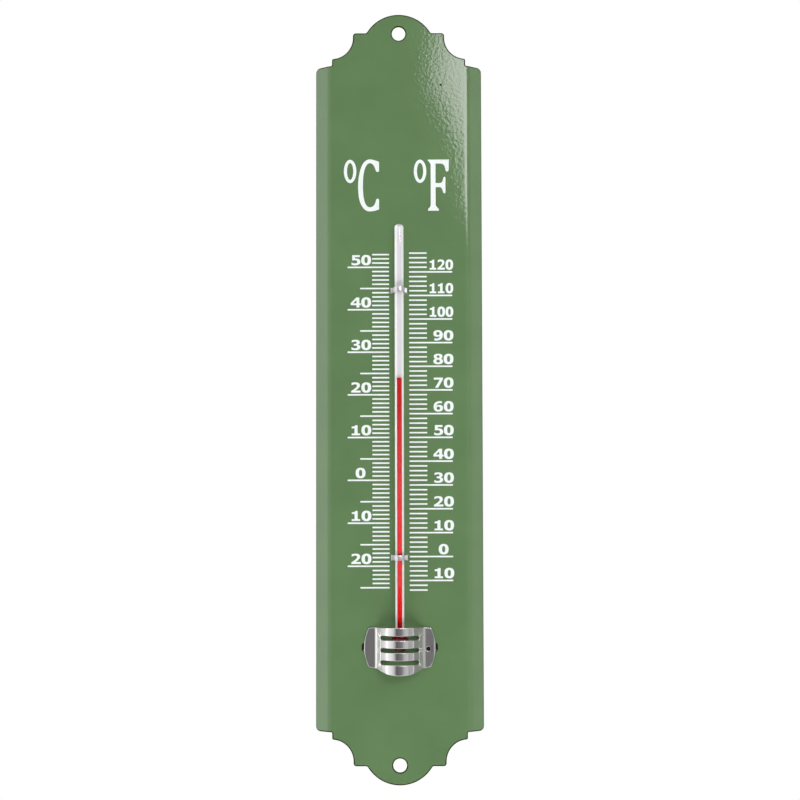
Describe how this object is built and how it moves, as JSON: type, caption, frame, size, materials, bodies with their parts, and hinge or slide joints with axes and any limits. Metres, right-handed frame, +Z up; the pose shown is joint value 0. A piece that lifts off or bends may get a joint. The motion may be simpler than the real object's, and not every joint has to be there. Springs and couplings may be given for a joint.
{
  "type": "wall thermometer",
  "caption": "Folded enamelled steel wall plate with scalloped ends, a glass spirit tube held by two straps and a slotted metal bulb guard.",
  "frame": {"origin": "on the wall plane, behind the middle of the plate", "axes": "+Z up along the plate, +Y into the wall, the printed front faces -Y, +X to the right of a person who reads the scale"},
  "size_m": [0.065, 0.014, 0.3],
  "materials": {
    "enamel": "glossy green baked enamel with slight orange peel",
    "clear_glass": "clear drawn glass",
    "opal_glass": "white opal backing strip inside the glass",
    "red_spirit": "red dyed spirit",
    "bright_steel": "polished plated steel with fine upright brushing",
    "white_print": "white printed ink"
  },
  "bodies": {
    "thermometer": {"back_plate": "enamel", "glass_stem": "clear_glass", "glass_bulb": "clear_glass", "opal_strip": "opal_glass", "bulb_spirit": "red_spirit", "upper_strap": "bright_steel", "lower_strap": "bright_steel", "bulb_guard": "bright_steel"},
    "spirit_level": {"spirit_column": "red_spirit", "spirit_meniscus": "red_spirit"}
  },
  "joints": [
    {"name": "spirit_rise", "type": "slide", "parent": "thermometer", "child": "spirit_level", "axis": [0, 0, 1], "range_m": [-0.0812, 0.0483], "deforming": ["spirit_column"]}
  ]
}
